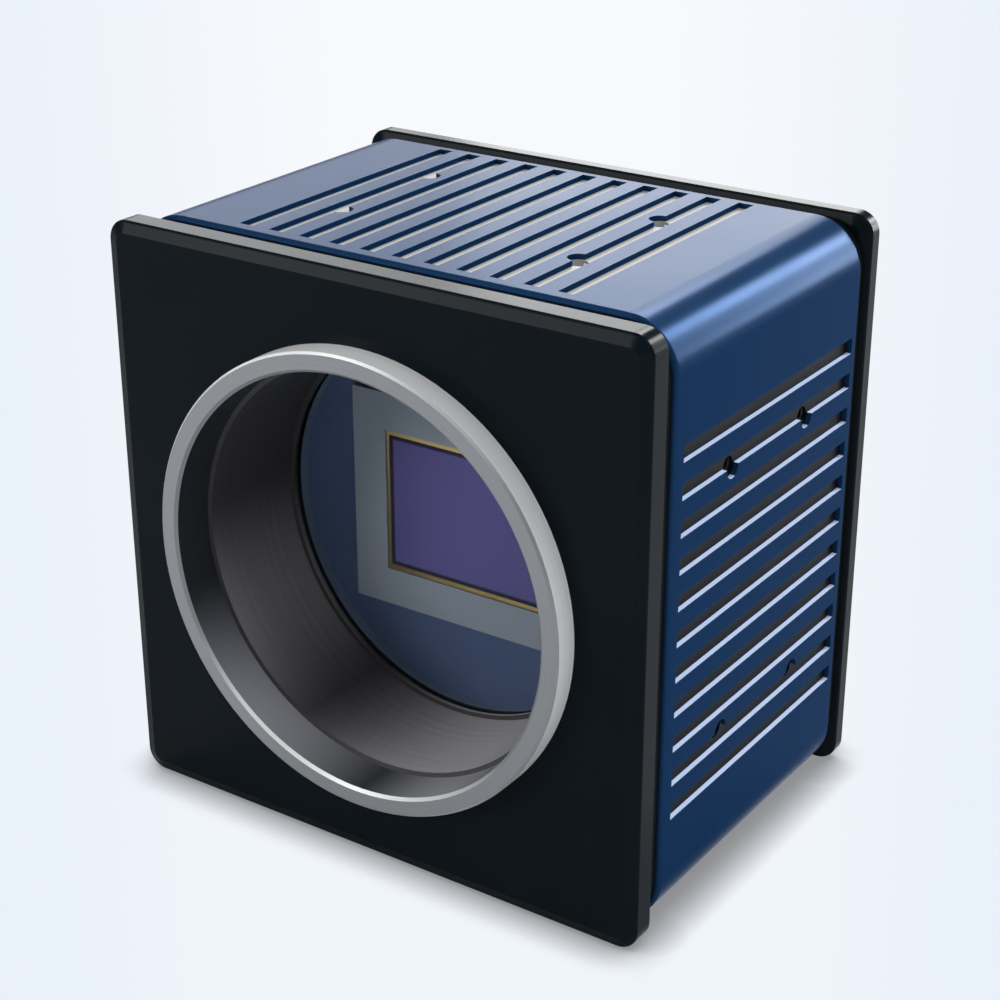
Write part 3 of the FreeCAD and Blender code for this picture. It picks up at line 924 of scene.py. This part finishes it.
@dataclass
class InnerThread:
    """The ridge of a tapped hole. The ridge's half widths are shares of the pitch."""

    radius: float
    pitch: float
    length: float
    depth: float
    root_half: float = 0.44
    crest_half: float = 0.06
    sink: float = 0.05
    steps: int = 24

    def wind(self, start: Vector, direction: Vector) -> bmesh.types.BMesh:
        """Winds the ridge round an axis.

        Args:
            start: Where the thread begins, on its axis.
            direction: The axis, pointing the way the thread runs.

        Returns:
            The ridge as a closed shape.
        """
        shape = bmesh.new()
        root, crest = self.pitch * self.root_half, self.pitch * self.crest_half
        foot, top = self.radius + self.pitch * self.sink, self.radius - self.depth
        profile = [(foot, root), (foot, -root), (self.radius, -root), (top, -crest),
                   (top, crest), (self.radius, root)]
        section = shape.faces.new([shape.verts.new((r, 0.0, h)) for r, h in profile])
        run = self.length - self.pitch
        turns = max(1.0, run / self.pitch)
        count = int(round(turns * self.steps))
        bmesh.ops.spin(shape, geom=[section], cent=(0, 0, 0), axis=(0, 0, 1),
                       angle=math.tau * turns, steps=count, dvec=(0, 0, run / count),
                       use_duplicate=False)
        bmesh.ops.translate(shape, verts=shape.verts, vec=(0, 0, self.pitch / 2))
        stand(shape, start, direction)
        return shape


def stud(radius: float, height: float, bevel: float, start: Vector, direction: Vector
         ) -> bmesh.types.BMesh:
    """Makes a short round stud with bevelled rims.

    Args:
        radius: The stud's radius.
        height: Its height.
        bevel: Width of the bevel on its rims.
        start: The middle of its foot.
        direction: The way it stands.

    Returns:
        The stud as a closed shape.
    """
    shape = bmesh.new()
    bmesh.ops.create_cone(shape, cap_ends=True, cap_tris=False, segments=24, radius1=radius,
                          radius2=radius, depth=height)
    bmesh.ops.translate(shape, verts=shape.verts, vec=(0, 0, height / 2))
    rims = [edge for edge in shape.edges if edge.calc_face_angle(0.0) > math.radians(60)]
    bmesh.ops.bevel(shape, geom=rims, offset=bevel, offset_type="OFFSET", segments=2,
                    profile=0.5, affect="EDGES", material=-1)
    stand(shape, start, direction)
    return shape


def gather(shapes: Iterable[bmesh.types.BMesh]) -> bmesh.types.BMesh:
    """Puts several shapes in one.

    Args:
        shapes: The shapes. They are freed here.

    Returns:
        The whole.
    """
    whole = bmesh.new()
    for shape in shapes:
        mesh = mesh_from("gathered", shape)
        whole.from_mesh(mesh)
        bpy.data.meshes.remove(mesh)
    return whole


# ---- Sub-assemblies ----------------------------------------------------------------

@dataclass
class Housing:
    """Front and back plates, blue sleeve and the chassis inside it."""

    shop: Workshop
    thread: InnerThread = field(default_factory=lambda: InnerThread(
        radius=1.24 * MM, pitch=0.5 * MM, length=3.6 * MM, depth=0.16 * MM))
    thread_setback: float = 0.3 * MM
    hole_across: float = 18.2 * MM
    hole_along: float = 9.75 * MM
    hole_middle_y: float = 33.85 * MM

    def build(self) -> None:
        """Dresses the shells and threads the mounting holes."""
        self.shop.dress(Slot.BLACK_PLATE, "front_plate", "back_plate")
        self.shop.dress(Slot.BLACK_PLATE, "inner_chassis", material=self.shop.chassis_material)
        self.shop.dress(Slot.BLUE_SLEEVE, "body_sleeve")
        self.shop.dress(Slot.BLACK_HARDWARE, "tie_screws")
        self.thread_side_holes()

    def thread_side_holes(self) -> None:
        """Cuts a fine thread in the four holes of each side."""
        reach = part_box("inner_chassis")[1].x
        sides = {"right": Vector((1, 0, 0)), "left": Vector((-1, 0, 0)),
                 "top": Vector((0, 0, 1)), "bottom": Vector((0, 0, -1))}
        for side, outward in sides.items():
            across = Vector((outward.z, 0, outward.x))
            threads = []
            for sign_across, sign_along in itertools.product((-1, 1), repeat=2):
                along = Vector((0, self.hole_middle_y + sign_along * self.hole_along, 0))
                start = (outward * (reach - self.thread_setback)
                         + across * sign_across * self.hole_across + along)
                threads.append(self.thread.wind(start, -outward))
            finish = Slot.BLACK_HARDWARE if outward.x else Slot.STEEL
            self.shop.piece(f"side_hole_threads_{side}", gather(threads), finish)


@dataclass
class LensMount:
    """Threaded ring, bore, filter window and what holds it."""

    shop: Workshop

    def build(self) -> None:
        """Dresses the mount's nodes."""
        self.shop.dress(Slot.BRIGHT_RING, "lens_mount_ring")
        self.shop.dress(Slot.BLACK_BORE, "mount_barrel", "filter_retaining_ring")
        self.shop.dress(Slot.WINDOW, "filter_window")
        self.shop.dress(Slot.SEAL, "filter_seal")


@dataclass
class SensorStack:
    """Image sensor, its package, board and carrier."""

    shop: Workshop
    cover_gap: float = 0.05 * MM

    def build(self) -> None:
        """Dresses the stack's nodes and makes the cover pane."""
        self.shop.dress(Slot.FRAME, "sensor_frame")
        self.shop.dress(Slot.BOARD, "sensor_board")
        self.shop.dress(Slot.CERAMIC, "sensor_package")
        self.shop.dress(Slot.GOLD, "sensor_bond_frame")
        self.shop.dress(Slot.SILICON, "sensor_die")
        self.shop.dress(Slot.STEEL, "sensor_posts", "sensor_screws")
        self.shop.dress(Slot.THERMAL_PAD, "sensor_thermal_pad")
        self.cover_glass()

    def cover_glass(self) -> None:
        """Makes the cover glass with a thin gap behind it, so that the package shows through."""
        low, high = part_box("sensor_cover_glass")
        size = Vector(high) - Vector(low) - Vector((0.0, self.cover_gap, 0.0))
        middle = Vector(low) + size / 2
        shape = bmesh.new()
        bmesh.ops.create_cube(shape, size=1.0)
        bmesh.ops.scale(shape, verts=shape.verts, vec=size)
        bmesh.ops.translate(shape, verts=shape.verts, vec=middle)
        cover = self.shop.piece("sensor_cover_pane", shape, Slot.COVER_GLASS)
        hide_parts("sensor_cover_glass")


@dataclass
class Electronics:
    """Boards, chips and links behind the bulkhead."""

    shop: Workshop

    def build(self) -> None:
        """Dresses the electronics' nodes."""
        self.shop.dress(Slot.BOARD, "processing_board", "interface_board")
        self.shop.dress(Slot.CHIP, "processor_chip", "memory_chips", "power_module")
        self.shop.dress(Slot.CONNECTOR, "sensor_link_plug", "sensor_link_socket",
                        "board_link_plug", "board_link_socket")
        self.shop.dress(Slot.STEEL, "front_spacers", "rear_spacers", "board_screws")
        self.shop.dress(Slot.THERMAL_PAD, "processor_thermal_pad")


@dataclass
class RearPanel:
    """Data jacks, power connector and status light."""

    shop: Workshop
    jack_count: int = 4
    jack_nose_r: float = 2.6 * MM
    stud_r: float = 0.42 * MM
    stud_height: float = 0.55 * MM
    stud_bevel: float = 0.08 * MM
    stud_setback: float = 2.0 * MM
    stud_sink: float = 0.1 * MM

    def build(self) -> None:
        """Dresses the connectors and adds the bayonet studs."""
        for number in range(1, self.jack_count + 1):
            self.shop.dress(Slot.NICKEL, f"coax_jack_{number}")
            self.shop.dress(Slot.INSULATOR, f"coax_insulator_{number}")
            self.shop.dress(Slot.GOLD, f"coax_pin_{number}")
            self.jack_studs(number)
        self.shop.dress(Slot.NICKEL, "power_connector_shell", "power_connector_nut")
        self.shop.dress(Slot.CHIP, "power_connector_insert")
        self.shop.dress(Slot.GOLD, "power_connector_pins")
        self.shop.dress(Slot.CONNECTOR, "status_led")
        self.shop.dress(Slot.LIGHT_PIPE, "status_light_pipe")

    def jack_studs(self, number: int) -> None:
        """Adds the two locking studs of a data jack.

        Args:
            number: The jack's number.
        """
        low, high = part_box(f"coax_jack_{number}")
        middle = (low + high) / 2
        studs = []
        for sign in (-1, 1):
            foot = Vector((middle.x + sign * (self.jack_nose_r - self.stud_sink),
                           high.y - self.stud_setback, middle.z))
            studs.append(stud(self.stud_r, self.stud_height, self.stud_bevel, foot,
                              Vector((sign, 0, 0))))
        self.shop.piece(f"coax_studs_{number}", gather(studs), Slot.NICKEL)


# ---- Studio ------------------------------------------------------------------------

@dataclass(frozen=True)
class Softbox:
    """A soft lamp, placed by its direction from the object.

    Azimuth 0 stands behind the object along +Y and positive values lie toward +X. The
    elevation is above the horizon. Angles are in degrees and lengths in metres. Glow is the
    lamp's own brightness, where 1 is white.
    """

    name: str
    azimuth: float
    elevation: float
    distance: float
    width: float
    height: float
    glow: float

    def build(self, target: Vector) -> None:
        """Adds the lamp and turns it to its target.

        Args:
            target: The middle of the object.
        """
        turn = math.radians(self.azimuth)
        rise = math.radians(self.elevation)
        way = Vector((math.sin(turn) * math.cos(rise), math.cos(turn) * math.cos(rise),
                      math.sin(rise)))
        lamp = bpy.data.lights.new(self.name, "AREA")
        lamp.shape = "RECTANGLE"
        lamp.size = self.width
        lamp.size_y = self.height
        lamp.energy = self.glow * math.pi * self.width * self.height
        holder = add_object(self.name, lamp)
        holder.location = target + way * self.distance
        holder.rotation_euler = way.to_track_quat("Z", "Y").to_euler()
        holder.visible_camera = False


@dataclass
class Studio:
    """Pale floor, soft light and the camera."""

    floor_half: float = 4.0
    floor_gap: float = 0.2 * MM
    floor_colour: Colour = (0.78, 0.80, 0.82)
    floor_tone: float = 0.995
    floor_mottle: float = 3.0
    backdrop_colour: Colour = (0.823, 0.879, 0.951)
    backdrop_middle: Colour = (0.939, 0.947, 0.982)
    lane_start: float = 0.24
    lane_offset: float = 0.02
    lane_span: tuple[float, float] = (0.08, 0.24)
    near_span: tuple[float, float] = (0.25, -0.02)
    near_share: float = 0.6
    shade_colour: Colour = (0.27, 0.275, 0.285)
    shade_reach: float = 7.0 * MM
    shade_samples: int = 16
    shade_span: tuple[float, float] = (0.30, 0.92)
    shade_power: float = 1.5
    world_colour: Colour = (0.96, 0.98, 1.0)
    world_glow: float = 0.28
    lens: float = 77.04
    sensor_width: float = 36.0
    clip: tuple[float, float] = (0.01, 20.0)
    camera_place: Triple = (0.15039, -0.18743, 0.12009)
    camera_tilt: float = 65.83
    camera_turn: float = 34.20
    softboxes: tuple[Softbox, ...] = field(default_factory=lambda: (
        Softbox("back_upper_softbox", -22.0, 38.0, 1.3, 0.42, 0.36, 26.0),
        Softbox("back_lower_softbox", -26.0, 18.0, 1.3, 0.42, 0.32, 8.3),
        Softbox("back_left_softbox", -46.0, 18.0, 1.3, 0.42, 0.32, 4.3),
        Softbox("side_upper_strip", 23.0, 27.0, 1.0, 0.17, 0.26, 48.0),
        Softbox("side_middle_strip", 27.0, 14.0, 1.0, 0.17, 0.20, 24.0),
        Softbox("side_lower_strip", 31.0, 5.0, 1.0, 0.17, 0.18, 24.0),
        Softbox("front_softbox", -146.0, 14.0, 1.4, 0.6, 0.4, 9.5),
        Softbox("front_left_softbox", -130.0, 48.0, 1.4, 0.6, 0.6, 2.0),
        Softbox("front_right_softbox", 150.0, 40.0, 1.4, 0.6, 0.6, 1.2),
        Softbox("right_softbox", 95.0, 52.0, 1.4, 0.6, 0.6, 6.0),
    ))

    def build(self) -> None:
        """Builds floor, world, lamps and camera."""
        self.lay_floor()
        self.light_world()
        low, high = CAD_BOX
        for softbox in self.softboxes:
            softbox.build((low + high) / 2)
        self.place_camera()
        bpy.context.scene.view_settings.view_transform = "Standard"

    def lay_floor(self) -> None:
        """Lays the floor just under the plates' lower edges."""
        shape = bmesh.new()
        bmesh.ops.create_grid(shape, x_segments=1, y_segments=1, size=self.floor_half)
        bmesh.ops.translate(shape, verts=shape.verts,
                            vec=(0, 0, CAD_BOX[0].z - self.floor_gap))
        floor = add_object("floor", mesh_from("floor", shape))
        floor.data.materials.append(self.floor_material())

    def floor_material(self) -> bpy.types.Material:
        """Makes the floor: plain and pale to the lamps, and a pale backdrop to the eye.

        Camera and transmission rays meet the backdrop, whose colour sinks to a soft grey
        where the object shades the floor. Other rays meet a plain matt floor.

        Returns:
            The floor's material.
        """
        sheet = MaterialSheet("pale_floor")
        matt = sheet.add("ShaderNodeBsdfDiffuse")
        tone = sheet.span(sheet.noise(sheet.place, self.floor_mottle, detail=2.0), *TONE_SPAN)
        pale = tuple(c * self.floor_tone for c in self.floor_colour)
        sheet.join(sheet.blend(tone, pale, self.floor_colour), matt.inputs["Color"])
        away = self.backdrop_share(sheet)
        backdrop = sheet.blend(away, self.backdrop_middle, self.backdrop_colour)
        shade = sheet.add("ShaderNodeAmbientOcclusion", samples=self.shade_samples)
        shade.inputs["Distance"].default_value = self.shade_reach
        open_share = sheet.maths("POWER", sheet.span(shade.outputs["AO"], *self.shade_span),
                                 self.shade_power)
        glow = sheet.add("ShaderNodeEmission")
        sheet.join(sheet.blend(open_share, self.shade_colour, backdrop), glow.inputs["Color"])
        path = sheet.add("ShaderNodeLightPath").outputs
        seen = sheet.maths("MAXIMUM", path["Is Camera Ray"], path["Is Transmission Ray"])
        sheet.output("ShaderNodeOutputMaterial",
                     sheet.either(seen, matt.outputs[0], glow.outputs[0]))
        return sheet.material

    def backdrop_share(self, sheet: MaterialSheet) -> Socket:
        """Measures how far a floor point lies off the bright lane behind the object.

        Args:
            sheet: The floor's nodes.

        Returns:
            0 in the middle of the lane and 1 at its sides.
        """
        turn = math.radians(self.camera_turn)
        along = sheet.measure("DOT_PRODUCT", sheet.place, (-math.sin(turn), math.cos(turn), 0.0))
        across = sheet.measure("DOT_PRODUCT", sheet.place, (math.cos(turn), math.sin(turn), 0.0))
        aside = sheet.maths("ABSOLUTE", sheet.maths("SUBTRACT", across, self.lane_offset))
        lane = sheet.maths("ADD", along, self.lane_start)
        sides = sheet.span(sheet.maths("DIVIDE", aside, lane), *self.lane_span)
        near = sheet.product(sheet.span(along, *self.near_span), self.near_share)
        return sheet.maths("MAXIMUM", sides, near)

    def light_world(self) -> None:
        """Sets an even, faint sky, which the camera meets as the pale backdrop."""
        world = bpy.data.worlds.new("studio_air")
        world.use_nodes = True
        sheet = NodeSheet(world.node_tree)
        airs = []
        for colour, strength in ((self.world_colour, self.world_glow),
                                 (self.backdrop_colour, 1.0)):
            air = sheet.add("ShaderNodeBackground")
            air.inputs["Color"].default_value = with_alpha(colour)
            air.inputs["Strength"].default_value = strength
            airs.append(air.outputs[0])
        seen = sheet.add("ShaderNodeLightPath").outputs["Is Camera Ray"]
        sheet.output("ShaderNodeOutputWorld", sheet.either(seen, *airs))
        bpy.context.scene.world = world

    def place_camera(self) -> None:
        """Places the camera high at the front right."""
        lens = bpy.data.cameras.new("camera")
        lens.lens = self.lens
        lens.sensor_width = self.sensor_width
        lens.clip_start, lens.clip_end = self.clip
        holder = add_object("camera", lens)
        holder.location = self.camera_place
        holder.rotation_euler = (math.radians(self.camera_tilt), 0.0,
                                 math.radians(self.camera_turn))
        bpy.context.scene.camera = holder


def main() -> None:
    """Builds the camera's sub-assemblies and the studio round it."""
    logging.basicConfig(level=logging.INFO, format="%(message)s")
    shop = Workshop()
    for assembly in (Housing(shop), LensMount(shop), SensorStack(shop), Electronics(shop),
                     RearPanel(shop), Studio()):
        assembly.build()


if __name__ == "__main__":
    main()
